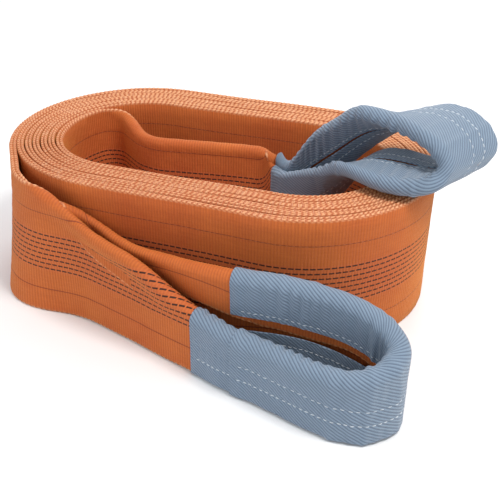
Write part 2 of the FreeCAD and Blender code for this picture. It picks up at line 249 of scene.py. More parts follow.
def natural_spline(knots, values):
    """A cubic through the values, one column at a time, as a function of the place."""
    count = len(knots)
    gaps = np.diff(knots)
    matrix = np.eye(count)
    right = np.zeros((count, values.shape[1]))
    slopes = np.diff(values, axis=0) / gaps[:, None]
    for row in range(1, count - 1):
        matrix[row, row - 1:row + 2] = gaps[row - 1], 2 * (gaps[row - 1] + gaps[row]), gaps[row]
        right[row] = 6 * (slopes[row] - slopes[row - 1])
    second = np.linalg.solve(matrix, right)

    def value(place):
        index = np.clip(np.searchsorted(knots, place, side="right") - 1, 0, count - 2)
        gap = gaps[index][:, None]
        near = (place - knots[index])[:, None]
        far = gap - near
        curve = (second[index] * far ** 3 + second[index + 1] * near ** 3) / (6 * gap)
        lower = (values[index] / gap - second[index] * gap / 6) * far
        upper = (values[index + 1] / gap - second[index + 1] * gap / 6) * near
        return curve + lower + upper

    return value


def unit(vectors):
    return vectors / np.linalg.norm(vectors, axis=-1, keepdims=True)


EYE_MIDDLE = 0.09  # height on the web at which its length is measured
FACE_OUT = 3.6 * MM  # the outer face stands this far outside the stations
SPREAD = -0.06  # lean of the inner layer against the outer one, in radians
TURNED_OVER = 36 * MM  # of a tail's first ply, over the top of the other one
TAIL_FOLD = 8 * MM
FRONT_OVER = 0.12, 0.24  # the top turns over between these lengths before the coil
REAR_OVER = COIL_LENGTH - 0.04, COIL_LENGTH + 0.11  # and between these places at its inner end
EYE_BLEND = 5 * MM, 50 * MM  # before and after the place where the plies part
ROLL_MIDDLE, ROLL_REACH = 0.13, 0.17  # from where an eye begins
PINCH_MIDDLE, PINCH_REACH = 0.17, 0.19  # back from where it ends


class Eye:
    """One strip from a ply of the tail, round the eye and back along the other ply.

    Its run starts as the tail ply's own place along the web, times direction, and then counts on.
    """

    def __init__(self, stations, tail_places, first_side, direction, roll, pinch):
        self.roll, self.pinch = roll, pinch
        away = [self.flat_row(place, first_side, 1, 0) for place in tail_places]
        back = [self.flat_row(place, -first_side, -1, 1) for place in tail_places[::-1]]
        rows = np.array(away + [self.folded_row(*station) for station in stations] + back)
        middles = rows[:, :3] + rows[:, 3:6] * EYE_MIDDLE
        steps = np.linalg.norm(np.diff(middles, axis=0), axis=1)
        tail = np.abs(np.diff(tail_places))
        steps[:len(tail)], steps[-len(tail):] = tail, tail[::-1]
        runs = direction * tail_places[0] + np.concatenate([[0], np.cumsum(steps)])
        self.crotch, self.return_crotch = runs[len(tail)], runs[-len(tail) - 1]
        self.curve = natural_spline(runs, rows)

    @staticmethod
    def flat_row(place, side, lean, tucked):
        """One place on the tail; the first ply's top turns over the other one, which is tucked under it."""
        foot = foot_of_ply(np.array([place]), side)[0]
        over = TURNED_OVER * max(ease(-place, *FRONT_OVER), ease(place, *REAR_OVER))
        share = 1 - tucked * over / WIDTH
        turn = WIDTH - (1 - tucked) * over
        return np.concatenate([foot, [0, 0, 1, turn, TAIL_FOLD, flare_at(place) * lean, share]])

    @staticmethod
    def folded_row(low, crest, radius):
        """One station of the eye, where the web is folded over at its crest."""
        low, crest = (np.array(point) * MM + COIL_MIDDLE for point in (low, crest))
        height = np.linalg.norm(crest - low)
        turn = height - radius * MM - PLY / 2
        return np.concatenate([low, (crest - low) / height, [turn, radius * MM, 0, 1]])

    def frames(self, run):
        """Where the web is at each run: its open edge, directions, fold and flare."""
        here, ahead, behind = (self.curve(run + step) for step in (0, 0.5 * MM, -0.5 * MM))
        up = unit(here[:, 3:6])
        along = ahead[:, :3] - behind[:, :3] + EYE_MIDDLE * (unit(ahead[:, 3:6]) - unit(behind[:, 3:6]))
        normal = unit(np.cross(along, up))
        before, after = EYE_BLEND
        eye = ease(run, self.crotch - before, self.crotch + after)
        eye = eye * ease(-run, -self.return_crotch - before, -self.return_crotch + after)
        out = eye * (FACE_OUT + waves(run, 51, (0.23, 0.14), 1.0 * MM))
        rolled = bump(run, self.crotch + ROLL_MIDDLE, ROLL_REACH)
        pinched = bump(run, self.return_crotch - PINCH_MIDDLE, PINCH_REACH)
        spread = eye * (SPREAD + self.pinch * pinched)
        return {
            "low": here[:, :3] + normal * out[:, None], "up": up, "normal": normal,
            "turn": (here[:, 6] + eye * waves(run, 52, (0.19, 0.11), 1.2 * MM))[:, None],
            "radius": here[:, 7:8], "flare": here[:, 8:9], "share": here[:, 9:10],
            "spread": spread[:, None], "roll": self.roll * rolled[:, None],
        }


def on_section(frames, along_up, along_normal):
    """Points from distances up from the open edge and out along the normal."""
    return (
        frames["low"][:, None]
        + frames["up"][:, None] * along_up[..., None]
        + frames["normal"][:, None] * along_normal[..., None]
    )


FOOT_ROOM = 3 * MM  # between the end of the folded flap and the open edge
SHORTEST_FLAP = 1 * MM
FLARE_CURVE = 1.2


def web_points(frames, across):
    """The middle of the web: up from the open edge, over the fold and down its inner side."""
    turn, radius, spread = frames["turn"], frames["radius"], frames["spread"]
    over = np.clip(across - turn, 0, None)
    angle = np.minimum(over / radius, np.pi)
    past = over - angle * radius
    room = (turn - FOOT_ROOM) / np.maximum(WIDTH - turn - np.pi * radius, SHORTEST_FLAP)
    past = past * np.clip(room, 0, 1)
    up = np.minimum(across, turn) * frames["share"] + radius * np.sin(angle) - past * np.cos(spread)
    out = -radius * (1 - np.cos(angle)) - past * np.sin(spread)
    out = out + frames["flare"] * np.clip(1 - across / WIDTH, 0, 1) ** FLARE_CURVE
    out = out + frames["roll"] * ease(across, turn - ROLL_HEIGHT, turn)
    return on_section(frames, up, out)


FOOT_DROP = 1 * MM  # room below the open edge of the web
BAND_GAP = 6 * MM  # the least room between the band and the lip


def sleeve_legs(frames, lift):
    """Lengths round the sleeve: lip, foot, outer face, crest and inner band, and what shapes them."""
    hug = HUG + lift
    turn, radius = frames["turn"], frames["radius"]
    gap = 2 * radius + turn * np.sin(frames["spread"])
    wide, deep = gap / 2 + hug, hug + FOOT_DROP
    foot = np.pi * np.sqrt((wide ** 2 + deep ** 2) / 2)
    band = np.minimum(BAND, turn + radius - LIP - BAND_GAP) - radius - hug
    legs = [LIP, foot, turn - PLY / 2, np.pi * (radius + hug), band]
    return legs, gap, wide, deep, radius + hug


def sleeve_points(frames, across, lift):
    """The middle of the sleeve; across is 0 at the foot of its outer face and runs up that face."""
    legs, gap, wide, deep, radius = sleeve_legs(frames, lift)
    left = across + legs[0] + legs[1]
    parts = []
    for leg in legs[:-1]:
        parts.append(np.clip(left, 0, leg))
        left = left - parts[-1]
    above, face = LIP - parts[0], parts[2]
    foot, crest = parts[1] / legs[1] * np.pi, parts[3] / radius
    slope = np.sin(frames["spread"])
    up = PLY / 2 + above - deep * np.sin(foot) + face + radius * np.sin(crest)
    up = up - left * np.cos(frames["spread"])
    out = above * slope - gap / 2 - wide * np.cos(foot) - radius * (1 - np.cos(crest)) - left * slope
    return on_section(frames, up, out)


# ---------------------------------------------------------------- meshes
RIM_STEPS = 6
CORD_LEAN = 1.6  # phase of a selvedge's cord, per radian round the edge


def thicken(name, grid, run, across, thickness, relief, rope=0.0):
    """A closed sheet round a grid of middle points, with rounded edges and a relief on both faces.

    The grid's rows follow the run and its columns go across.  The first face is the one on the right
    of the run.  Gives the object and both faces as points, outward directions and distances across.
    """
    along, rise = np.gradient(grid, axis=0), unit(np.gradient(grid, axis=1))
    normal = unit(np.cross(along, rise))
    runs = np.broadcast_to(run[:, None], across.shape)
    half = thickness / 2
    right = grid + normal * (half + relief(runs, across, 1))[..., None]
    left = grid - normal * (half + relief(runs, across, -1))[..., None]

    def rim(column, sign):
        """The rounded edge at one column, from the right face to the left one, or back."""
        turn = np.linspace(0, np.pi, RIM_STEPS + 2)[None, 1:-1]
        turn = turn if sign > 0 else np.pi - turn
        swell = half + rope * np.cos(2 * np.pi * run[:, None] / TWIST - CORD_LEAN * sign * turn)
        points = (
            grid[:, None, column]
            + normal[:, None, column] * (np.cos(turn) * swell)[..., None]
            + rise[:, None, column] * (sign * np.sin(turn) * swell)[..., None]
        )
        levels = (across[:, column][:, None], np.sin(turn), sign * turn / np.pi)
        return points, *(np.broadcast_to(level, swell.shape) for level in levels)

    top, bottom = rim(-1, 1), rim(0, -1)
    flat = np.zeros_like(across)
    points = np.concatenate([right, top[0], left[:, ::-1], bottom[0]], axis=1)
    values = {
        "run": np.broadcast_to(run[:, None], points.shape[:2]),
        "across": np.concatenate([across, top[1], across[:, ::-1], bottom[1]], axis=1),
        "rim": np.concatenate([flat, top[2], flat, bottom[2]], axis=1),
        "lay": np.concatenate([flat, top[3], flat, bottom[3]], axis=1),
    }
    obj = mesh_object(name, points.reshape(-1, 3), closed_quads(len(grid), grid.shape[1]))
    for key, value in values.items():
        attribute = obj.data.attributes.new(key, "FLOAT", "POINT")
        attribute.data.foreach_set("value", value.astype(np.float32).reshape(-1))
    return obj, (right, normal, across), (left, -normal, across)


def closed_quads(rows, columns):
    """Faces of a sheet's skin: quads round it, and a ladder of quads over each end."""
    around = 2 * columns + 2 * RIM_STEPS
    corner = np.arange(rows - 1)[:, None] * around + np.arange(around)
    beside = np.arange(rows - 1)[:, None] * around + (np.arange(around) + 1) % around
    skin = np.stack([corner, corner + around, beside + around, beside], -1).reshape(-1, 4)
    right = np.arange(-RIM_STEPS // 2, columns + RIM_STEPS // 2)
    left = 2 * columns + RIM_STEPS - 1 - right
    ladder = np.stack([right[:-1], right[1:], left[1:], left[:-1]], -1) % around
    return np.concatenate([skin, ladder, ladder[:, ::-1] + (rows - 1) * around])


SHARP = math.radians(60)


def mesh_object(name, points, quads):
    """A smooth mesh of four-sided faces, with nothing below the floor."""
    mesh = bpy.data.meshes.new(name)
    mesh.vertices.add(len(points))
    above = np.asarray(points, np.float32).copy()
    above[:, 2] = np.maximum(above[:, 2], 0)
    mesh.vertices.foreach_set("co", above.reshape(-1))
    mesh.loops.add(quads.size)
    mesh.loops.foreach_set("vertex_index", quads.astype(np.int32).reshape(-1))
    mesh.polygons.add(len(quads))
    mesh.polygons.foreach_set("loop_start", np.arange(0, quads.size, 4, dtype=np.int32))
    mesh.update(calc_edges=True)
    mesh.validate()
    mesh.shade_smooth()
    mesh.set_sharp_from_angle(angle=SHARP)
    obj = bpy.data.objects.new(name, mesh)
    bpy.context.scene.collection.objects.link(obj)
    return obj


def seam_line(face, level, edge=None, first=0, last=None):
    """Points and outward directions along one distance across, or from the near or the far edge."""
    points, normal, across = (part[first:last] for part in face)
    if edge == "near":
        level = across[:, 0] + level
    if edge == "far":
        level = across[:, -1] - level
    end = across.shape[1] - 1
    place = (level - across[:, 0]) / (across[:, -1] - across[:, 0]) * end
    column = np.clip(place.astype(int), 0, end - 1)
    share = (place - column)[:, None]
    row = np.arange(len(across))
    path = points[row, column] * (1 - share) + points[row, column + 1] * share
    outward = normal[row, column] * (1 - share) + normal[row, column + 1] * share
    return path, unit(outward)


STITCH_RINGS, STITCH_SIDES = 7, 6
STITCH_PROUD, STITCH_SINK = 0.25, 1.6  # in thread thicknesses: at the middle, and down to the ends
STITCH_THIN = 0.45  # thickness at the ends
STITCH_SHIFT, STITCH_ASIDE = 0.3, 0.25 * MM  # random, along in gaps and sideways


def stitch_quads(count):
    """Faces of many stitches: a tube of rings each, closed by two quads at each end."""
    ring = np.arange(STITCH_RINGS - 1)[:, None] * STITCH_SIDES
    side = np.arange(STITCH_SIDES)
    near, beside = ring + side, ring + (side + 1) % STITCH_SIDES
    tube = np.stack([near, near + STITCH_SIDES, beside + STITCH_SIDES, beside], -1).reshape(-1, 4)
    first = np.array([[0, 1, 2, 3], [0, 3, 4, 5]])
    last = first[:, ::-1] + (STITCH_RINGS - 1) * STITCH_SIDES
    single = np.concatenate([tube, first, last])
    offsets = np.arange(count) * STITCH_RINGS * STITCH_SIDES
    return (single[None] + offsets[:, None, None]).reshape(-1, 4)


def stitches(name, lines, thick=0.75 * MM, length=7.5 * MM, gap=2.5 * MM, seed=1):
    """Single stitches along lines on a cloth; each one is bent, and its ends sink into the cloth."""
    rng = np.random.default_rng(seed)
    ring = np.linspace(0, 1, STITCH_RINGS)
    arch = np.sin(np.pi * ring) ** 0.5
    turn = np.arange(STITCH_SIDES) * 2 * np.pi / STITCH_SIDES
    bodies = []
    for path, outward in lines:
        steps = np.linalg.norm(np.diff(path, axis=0), axis=1)
        gone = np.concatenate([[0], np.cumsum(steps)])
        starts = np.arange(gap, gone[-1] - length - gap, length + gap)
        starts = starts + rng.uniform(-STITCH_SHIFT, STITCH_SHIFT, len(starts)) * gap
        at = starts[:, None] + ring * length
        spine, out = (
            np.stack([np.interp(at, gone, values[:, axis]) for axis in range(3)], -1)
            for values in (path, outward)
        )
        out = unit(out)
        aside = unit(np.cross(np.gradient(spine, axis=1), out))
        spine = spine + out * ((STITCH_PROUD + STITCH_SINK * (arch - 1)) * thick)[:, None]
        spine = spine + aside * rng.uniform(-STITCH_ASIDE, STITCH_ASIDE, (len(starts), 1, 1))
        around = out[:, :, None] * np.sin(turn)[:, None] + aside[:, :, None] * np.cos(turn)[:, None]
        fat = thick * (STITCH_THIN + (1 - STITCH_THIN) * arch)
        bodies.append((spine[:, :, None] + around * fat[:, None, None]).reshape(-1, 3))
    points = np.concatenate(bodies)
    return mesh_object(name, points, stitch_quads(len(points) // (STITCH_RINGS * STITCH_SIDES)))


# ---------------------------------------------------------------- materials
def shader(slot, roughness, sheen, sheen_roughness, sheen_tint=(1, 1, 1, 1)):
    """A new cloth or thread look; slot is the record's name for it."""
    material = bpy.data.materials.new(slot + "_look")
    material["slot"] = slot
    material.use_nodes = True
    tree = material.node_tree
    main = tree.nodes["Principled BSDF"]
    main.inputs["Roughness"].default_value = roughness
    main.inputs["Sheen Weight"].default_value = sheen
    main.inputs["Sheen Roughness"].default_value = sheen_roughness
    main.inputs["Sheen Tint"].default_value = sheen_tint
    main.inputs["Specular IOR Level"].default_value = 0.35
    return material, tree, main


class Nodes:
    """Short ways to add nodes to one tree."""

    def __init__(self, tree):
        self.tree = tree

    def put(self, socket, value):
        if isinstance(value, bpy.types.NodeSocket):
            self.tree.links.new(value, socket)
        else:
            socket.default_value = value

    def attribute(self, name):
        node = self.tree.nodes.new("ShaderNodeAttribute")
        node.attribute_name = name
        return node.outputs["Fac"]

    def math(self, operation, first, second=0.0, third=0.0, clamp=False):
        """One operation on values or sockets."""
        node = self.tree.nodes.new("ShaderNodeMath")
        node.operation = operation
        node.use_clamp = clamp
        for socket, value in zip(node.inputs, (first, second, third)):
            self.put(socket, value)
        return node.outputs[0]

    def band(self, value, low, high, soft):
        """1 between low and high, 0 outside, with soft edges."""
        rise = self.smooth(value, low - soft, low + soft)
        fall = self.smooth(value, high - soft, high + soft)
        return self.math("SUBTRACT", rise, fall, clamp=True)

    def smooth(self, value, low, high, start=0.0, end=1.0):
        node = self.tree.nodes.new("ShaderNodeMapRange")
        node.interpolation_type = "SMOOTHSTEP"
        for socket, given in zip(node.inputs, (value, low, high, start, end)):
            self.put(socket, given)
        return node.outputs[0]

    def wave(self, value, period):
        """A sine from 0 to 1 along a value."""
        turned = self.math("MULTIPLY", value, 2 * math.pi / period)
        return self.math("MULTIPLY_ADD", self.math("SINE", turned), 0.5, 0.5)

    def weighted(self, *parts):
        """The sum of values, each times its weight."""
        total = None
        for value, weight in parts:
            part = self.math("MULTIPLY", value, weight)
            total = part if total is None else self.math("ADD", total, part)
        return total

    def vector(self, x, y):
        node = self.tree.nodes.new("ShaderNodeCombineXYZ")
        for socket, value in zip(node.inputs, (x, y)):
            self.put(socket, value)
        return node.outputs[0]

    def noise(self, vector, scale, detail=2.0):
        node = self.tree.nodes.new("ShaderNodeTexNoise")
        self.put(node.inputs["Vector"], vector)
        node.inputs["Scale"].default_value = scale
        node.inputs["Detail"].default_value = detail
        return node.outputs["Fac"]

    def mix(self, share, first, second):
        node = self.tree.nodes.new("ShaderNodeMix")
        node.data_type = "RGBA"
        self.put(node.inputs["Factor"], share)
        self.put(node.inputs[6], first)
        self.put(node.inputs[7], second)
        return node.outputs[2]

    def tint(self, colour, mask, strength, other):
        """A colour mixed towards another one where the mask is 1, by the given strength."""
        return self.mix(self.math("MULTIPLY", mask, strength), colour, other)

    def bump(self, height, distance, strength=1.0):
        node = self.tree.nodes.new("ShaderNodeBump")
        self.put(node.inputs["Height"], height)
        node.inputs["Distance"].default_value = distance
        node.inputs["Strength"].default_value = strength
        return node.outputs[0]


# Eight dark lines are woven along the web, as dashes on a ground of a slightly redder orange.
STRIPES = 8
STRIPE_LOW, STRIPE_HIGH = 88 * MM, 153 * MM
STRIPE_GAP = (STRIPE_HIGH - STRIPE_LOW) / (STRIPES - 1)
STRIPE_FOOT = STRIPE_LOW - STRIPE_GAP / 2
LINE_FULL, LINE_FADED = 1.05 * MM, 1.6 * MM  # from the middle of a line
DASH, DASH_SHIFT = 11.0 * MM, 0.37
GROOVE, GROOVE_SOFT = 0.8 * MM, 0.7 * MM
SELVEDGE_FULL, SELVEDGE_FADED = 2.5 * MM, 6.0 * MM

DEEP_ORANGE, BRIGHT_ORANGE = (0.37, 0.052, 0.011, 1), (0.56, 0.125, 0.020, 1)
GOLD, YARN_LIGHT = (0.60, 0.180, 0.030, 1), (0.80, 0.235, 0.050, 1)
# Painted shade for the valleys between the weft ribs and for the seam grooves.
RIB_VALLEY_PAINTED_SHADE, GROOVE_SHADE = (0.26, 0.035, 0.010, 1), (0.17, 0.022, 0.010, 1)
STRIPE_GROUND, INK = (0.58, 0.125, 0.045, 1), (0.010, 0.006, 0.005, 1)
# The cord colours are painted shade and painted highlight on the selvedge's pale yarn, following the twist
# of the cord.
CORD_PAINTED_SHADE, CORD_PAINTED_HIGHLIGHT, CORD_SPECK = (0.42, 0.105, 0.035, 1), (0.72, 0.34, 0.165, 1), (0.85, 0.58, 0.38, 1)
GOLDEN_SHEEN = (1.0, 0.52, 0.12, 1)


def stripe_ink(nodes, run, across):
    """Where the dashes of the woven lines are, and the ground that they stand on."""
    ground = nodes.band(across, STRIPE_FOOT, STRIPE_HIGH + STRIPE_GAP / 2, 0.5 * MM)
    step = nodes.math("DIVIDE", nodes.math("SUBTRACT", across, STRIPE_FOOT), STRIPE_GAP)
    off = nodes.math("ABSOLUTE", nodes.math("SUBTRACT", nodes.math("FRACT", step), 0.5))
    line = nodes.smooth(off, LINE_FULL / STRIPE_GAP, LINE_FADED / STRIPE_GAP, 1.0, 0.0)
    shift = nodes.math("MULTIPLY", nodes.math("FLOOR", step), DASH_SHIFT)
    beat = nodes.math("FRACT", nodes.math("ADD", nodes.math("DIVIDE", run, DASH), shift))
    dash = nodes.band(beat, 0.10, 0.90, 0.05)
    return nodes.math("MULTIPLY", nodes.math("MULTIPLY", line, dash), ground), ground


def webbing_material():
    """Ribbed orange webbing with woven lines, seam grooves and corded, paler selvedges; painted shade lies
    in the rib valleys, and painted highlight and shade follow the twist of the cords.
    """
    material, tree, main = shader("orange_webbing", 0.75, 0.45, 0.35, GOLDEN_SHEEN)
    nodes = Nodes(tree)
    run, across, rim, lay = (nodes.attribute(key) for key in ("run", "across", "rim", "lay"))
    spot = nodes.vector(run, across)
    broad, fine = nodes.noise(spot, 14, 3), nodes.noise(spot, 420, 2)
    wide = nodes.smooth(nodes.noise(spot, 4.5, 2), 0.35, 0.65)
    streak = nodes.noise(nodes.vector(nodes.math("MULTIPLY", run, 0.12), across), 260, 2)
    rib, yarn = nodes.wave(run, RIB), nodes.wave(across, YARN)

    colour = nodes.mix(broad, DEEP_ORANGE, BRIGHT_ORANGE)
    colour = nodes.tint(colour, wide, 0.35, GOLD)
    colour = nodes.tint(colour, streak, 0.35, YARN_LIGHT)
    # Painted shade in the valleys between the weft ribs.
    colour = nodes.tint(colour, nodes.math("SUBTRACT", 1.0, rib), 0.30, RIB_VALLEY_PAINTED_SHADE)
    ink, ground = stripe_ink(nodes, run, across)
    colour = nodes.tint(colour, ground, 0.30, STRIPE_GROUND)
    colour = nodes.tint(colour, ink, 0.93, INK)
    for edge in (SEAM_INSET, WIDTH - SEAM_INSET):
        groove = nodes.band(across, edge - GROOVE, edge + GROOVE, GROOVE_SOFT)
        colour = nodes.tint(colour, groove, 0.8, GROOVE_SHADE)

    margin = nodes.math("MINIMUM", across, nodes.math("SUBTRACT", WIDTH, across))
    pale = nodes.smooth(margin, SELVEDGE_FULL, SELVEDGE_FADED, 1.0, 0.0)
    # Painted highlight and painted shade follow the cord's twist, in step with the swell of its rope.
    lean = nodes.math("SUBTRACT", nodes.math("DIVIDE", run, TWIST), nodes.math("MULTIPLY", lay, 0.8))
    cord = nodes.mix(nodes.wave(lean, 1.0), CORD_PAINTED_SHADE, CORD_PAINTED_HIGHLIGHT)
    cord = nodes.tint(cord, nodes.smooth(nodes.noise(spot, 900, 1), 0.52, 0.70), 0.35, CORD_SPECK)
    selvedge = nodes.math("MAXIMUM", nodes.smooth(rim, 0.05, 0.55), nodes.math("MULTIPLY", pale, 0.55))

    nodes.put(main.inputs["Base Color"], nodes.mix(selvedge, colour, cord))
    nodes.put(main.inputs["Roughness"], nodes.smooth(fine, 0.3, 0.7, 0.62, 0.85))
    weave = nodes.weighted((rib, 0.5), (yarn, 0.35), (fine, 0.6))
    nodes.put(main.inputs["Normal"], nodes.bump(weave, 0.5 * MM))
    return material


DEEP_BLUE, PALE_BLUE = (0.110, 0.168, 0.252, 1), (0.165, 0.230, 0.325, 1)
# Painted highlight for the twill ribs and painted shade for their valleys; the lint is the cloth's own.
TWILL_PAINTED_HIGHLIGHT, TWILL_PAINTED_SHADE, LINT = (0.33, 0.43, 0.55, 1), (0.045, 0.072, 0.115, 1), (0.40, 0.48, 0.56, 1)


def sleeve_material():
    """Blue-grey twill: slanting ribs with painted highlights, painted shade in their valleys, and a fine
    weave.
    """
    material, tree, main = shader("sleeve_cloth", 0.62, 0.25, 0.4)
    nodes = Nodes(tree)
    run, across = nodes.attribute("run"), nodes.attribute("across")
    spot = nodes.vector(run, across)
    broad, fine = nodes.noise(spot, 16, 3), nodes.noise(spot, 700, 2)
    rib = nodes.wave(nodes.weighted((run, 0.57), (across, 0.82)), TWILL)
    thread = nodes.wave(nodes.weighted((run, 1.0), (across, -0.9)), TWILL_YARN)

    colour = nodes.mix(broad, DEEP_BLUE, PALE_BLUE)
    # Painted highlight on the twill ribs and painted shade in the valleys between them.
    colour = nodes.tint(colour, rib, 0.35, TWILL_PAINTED_HIGHLIGHT)
    colour = nodes.mix(nodes.smooth(rib, 0.0, 0.35, 0.65, 0.0), colour, TWILL_PAINTED_SHADE)
    nodes.put(main.inputs["Base Color"], nodes.tint(colour, fine, 0.25, LINT))
    nodes.put(main.inputs["Roughness"], nodes.smooth(fine, 0.3, 0.7, 0.5, 0.75))
    weave = nodes.weighted((rib, 0.8), (thread, 0.35), (fine, 0.4))
    nodes.put(main.inputs["Normal"], nodes.bump(weave, 0.8 * MM))
    return material


def thread_material(slot, dark, light):
    """Twisted sewing thread, worn in places."""
    material, tree, main = shader(slot, 0.6, 0.3, 0.5)
    nodes = Nodes(tree)
    place = tree.nodes.new("ShaderNodeTexCoord").outputs["Object"]
    twist = tree.nodes.new("ShaderNodeTexWave")
    twist.inputs["Scale"].default_value = 300
    twist.inputs["Distortion"].default_value = 2
    nodes.put(twist.inputs["Vector"], place)
    wear = nodes.noise(place, 90, 2)
    colour = nodes.tint(light, twist.outputs["Fac"], 0.6, dark)
    colour = nodes.mix(nodes.smooth(wear, 0.45, 0.75, 0.0, 0.5), colour, dark)
    nodes.put(main.inputs["Base Color"], colour)
    nodes.put(main.inputs["Normal"], nodes.bump(twist.outputs["Fac"], 0.2 * MM, 0.6))
    return material


def floor_material():
    material, tree, main = shader("pale_floor", 0.8, 0.0, 0.5)
    nodes = Nodes(tree)
    place = tree.nodes.new("ShaderNodeTexCoord").outputs["Object"]
    pale = nodes.mix(nodes.noise(place, 3), (0.86, 0.86, 0.86, 1), (0.90, 0.90, 0.90, 1))
    nodes.put(main.inputs["Base Color"], pale)
    return material


webbing = webbing_material()
sleeve_cloth = sleeve_material()
white_thread = thread_material("white_thread", (0.36, 0.42, 0.48, 1), (0.74, 0.78, 0.82, 1))
orange_thread = thread_material("orange_thread", (0.22, 0.035, 0.010, 1), (0.52, 0.13, 0.035, 1))


# ---------------------------------------------------------------- relief of the cloths
RIB_HEIGHT, MARGIN_HEIGHT, LUMP_HEIGHT = 0.26 * MM, 0.7 * MM, 0.35 * MM
SEAM_DEPTH, SEAM_REACH, SEAM_WAVER = 0.8 * MM, 3.0 * MM, 1.6 * MM
FAINT_DEPTH, FAINT_REACH = 0.3 * MM, 2.2 * MM


def web_relief(run, across, side):
    """Weft ribs, thicker margins beyond the two long seams, and a groove at each seam."""
    margin = np.minimum(across, WIDTH - across)
    ribs = RIB_HEIGHT * np.cos(2 * np.pi * run / RIB) * ease(margin, 1 * MM, 7 * MM)
    margin = margin + waves(run, 33, (0.31, 0.13, 0.07), SEAM_WAVER)
    margins = MARGIN_HEIGHT * (1 - ease(margin, SEAM_INSET, SEAM_INSET + 2 * MM))
    groove = -SEAM_DEPTH * bump(margin, SEAM_INSET, SEAM_REACH)
    lumps = waves(run + 1.7 * across, 31, (0.143, 0.067, 0.031), LUMP_HEIGHT)
    return ribs + margins + groove + lumps


def plain_relief(run, across, side):
    """Turns that are hidden in the coil keep only their seam grooves."""
    margin = np.minimum(across, WIDTH - across)
    return -FAINT_DEPTH * bump(margin, SEAM_INSET, FAINT_REACH)


STITCH_DEPTH, STITCH_REACH, PUCKER_REACH = 0.6 * MM, 3.5 * MM, 17 * MM
PUCKER_HEIGHT, PUCKER_LENGTH = 0.45 * MM, 13 * MM
GATHER_HEIGHT, GATHER_LENGTH = 1.9 * MM, 19 * MM
GATHER_FULL, GATHER_FADED = 52 * MM, 74 * MM  # from the edge of the inner band
HEM_HEIGHT, HEM_WIDTH = 0.5 * MM, 9 * MM
BACK_SHARE = -0.2  # the hidden face follows the seen one this much


def sleeve_relief(creases):
    """Sunk stitch rows with puckers beside them, a gathered band, hems, and loose creases.

    A crease is its place along the run, reach, height and slant.
    """

    def relief(run, across, side):
        near, far = across - across[:, :1], across[:, -1:] - across
        rows = [(across, LOWER_ROW), (across, UPPER_ROW), (far, BAND_ROW), (near, LIP_ROW)]
        sunk = sum(-STITCH_DEPTH * bump(measure, level, STITCH_REACH) for measure, level in rows)
        beside = sum(bump(measure, level, PUCKER_REACH) for measure, level in rows)
        turned = 2 * np.pi * run / PUCKER_LENGTH + 2.5 * np.sin(run / (29 * MM))
        pucker = PUCKER_HEIGHT * np.sin(turned) * beside
        soft = waves(run - 0.6 * across, 41, (0.083, 0.051, 0.037), 0.5 * MM)
        folds = sum(size * bump(run + tilt * across, place, reach) for place, reach, size, tilt in creases)
        gather = np.sin(2 * np.pi * run / GATHER_LENGTH + 2.2 * np.sin(run / (27 * MM)))
        gather = gather * (0.45 + 0.55 * np.sin(run / (61 * MM)) ** 2) * (0.5 + 0.5 * far / BAND)
        gather = GATHER_HEIGHT * gather * (1 - ease(far, GATHER_FULL, GATHER_FADED))
        ends = np.minimum(run - run[0, 0], run[-1, 0] - run)
        hem = HEM_HEIGHT * (1 - ease(ends, HEM_WIDTH, HEM_WIDTH + 2 * MM))
        return (sunk + pucker + soft + hem + folds + gather) * (1.0 if side > 0 else BACK_SHARE)

    return relief


# ---------------------------------------------------------------- pieces
FINE, COARSE = 1.4 * MM, 2.4 * MM  # spacing of the rows along a web that is seen, and along a hidden one
UNDER_STEP, SLEEVE_STEP, TAIL_STEP = 3 * MM, 2.4 * MM, 8 * MM
EYE_COLUMNS, SLEEVE_COLUMNS, TURN_COLUMNS, HIDDEN_COLUMNS = 54, 128, 12, 5
ROPE = 0.45 * MM  # swell of the cord along a selvedge
UNDER = 25 * MM  # inside a sleeve's end: the web keeps its fold this far, and tightens over as much again
TIGHTER = 2 * MM  # less fold radius


def even(first, last, step):
    """Evenly spaced places from first to last, at most a step apart."""
    return np.linspace(first, last, int(math.ceil(abs(last - first) / step)) + 1)


def plan_point(place):
    """A point at half height on the web, at one place along it."""
    spot = whole_plan(np.array([place + TAIL_LENGTH]))[0][0]
    return Vector((spot[0], spot[1], WIDTH / 2))


def finish_piece(obj, material, nodes, body=None):
    """Gives a piece its cloth, which carries its slot, hides the CAD parts that it stands for, and hangs it
    on the body it rides on; with no body it is baked in place.
    """
    obj.data.materials.append(material)
    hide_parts(*nodes)
    if body:
        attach(obj, body)
    else:
        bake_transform(obj)


def coil_strip(name, node, side, first, last, step, columns, relief):
    """A length of one ply that stands on edge in the coil; gives its right and left faces."""
    places = even(first, last, step)
    level = np.linspace(PLY / 2, WIDTH - PLY / 2, columns)
    across = np.tile(level, (len(places), 1))
    grid = foot_of_ply(places, side)[:, None] + across[..., None] * np.array([0.0, 0.0, 1.0])
    obj, right, left = thicken(name, grid, places, across, PLY, relief, ROPE)
    finish_piece(obj, webbing, [node], body="coil")
    return right, left


# Where the coil's own strips begin and end, and where the outermost turn ends and the innermost begins.
FIRST, LAST = 0.10, COIL_LENGTH - 0.07
SECOND_TURN, INNER_TURN = 2.15, COIL_LENGTH - 1.75

SEEN, HIDDEN = (FINE, TURN_COLUMNS, web_relief), (COARSE, HIDDEN_COLUMNS, plain_relief)

outside = coil_strip("coil_outer_turn", "coil_outer_ply", 1, FIRST, SECOND_TURN, *SEEN)[1]
coil_strip("coil_outer_web", "coil_outer_ply", 1, SECOND_TURN, LAST, *HIDDEN)
coil_strip("coil_inner_web", "coil_inner_ply", -1, FIRST, INNER_TURN, *HIDDEN)
inside = coil_strip("coil_inner_turn", "coil_inner_ply", -1, INNER_TURN, LAST, *SEEN)[0]

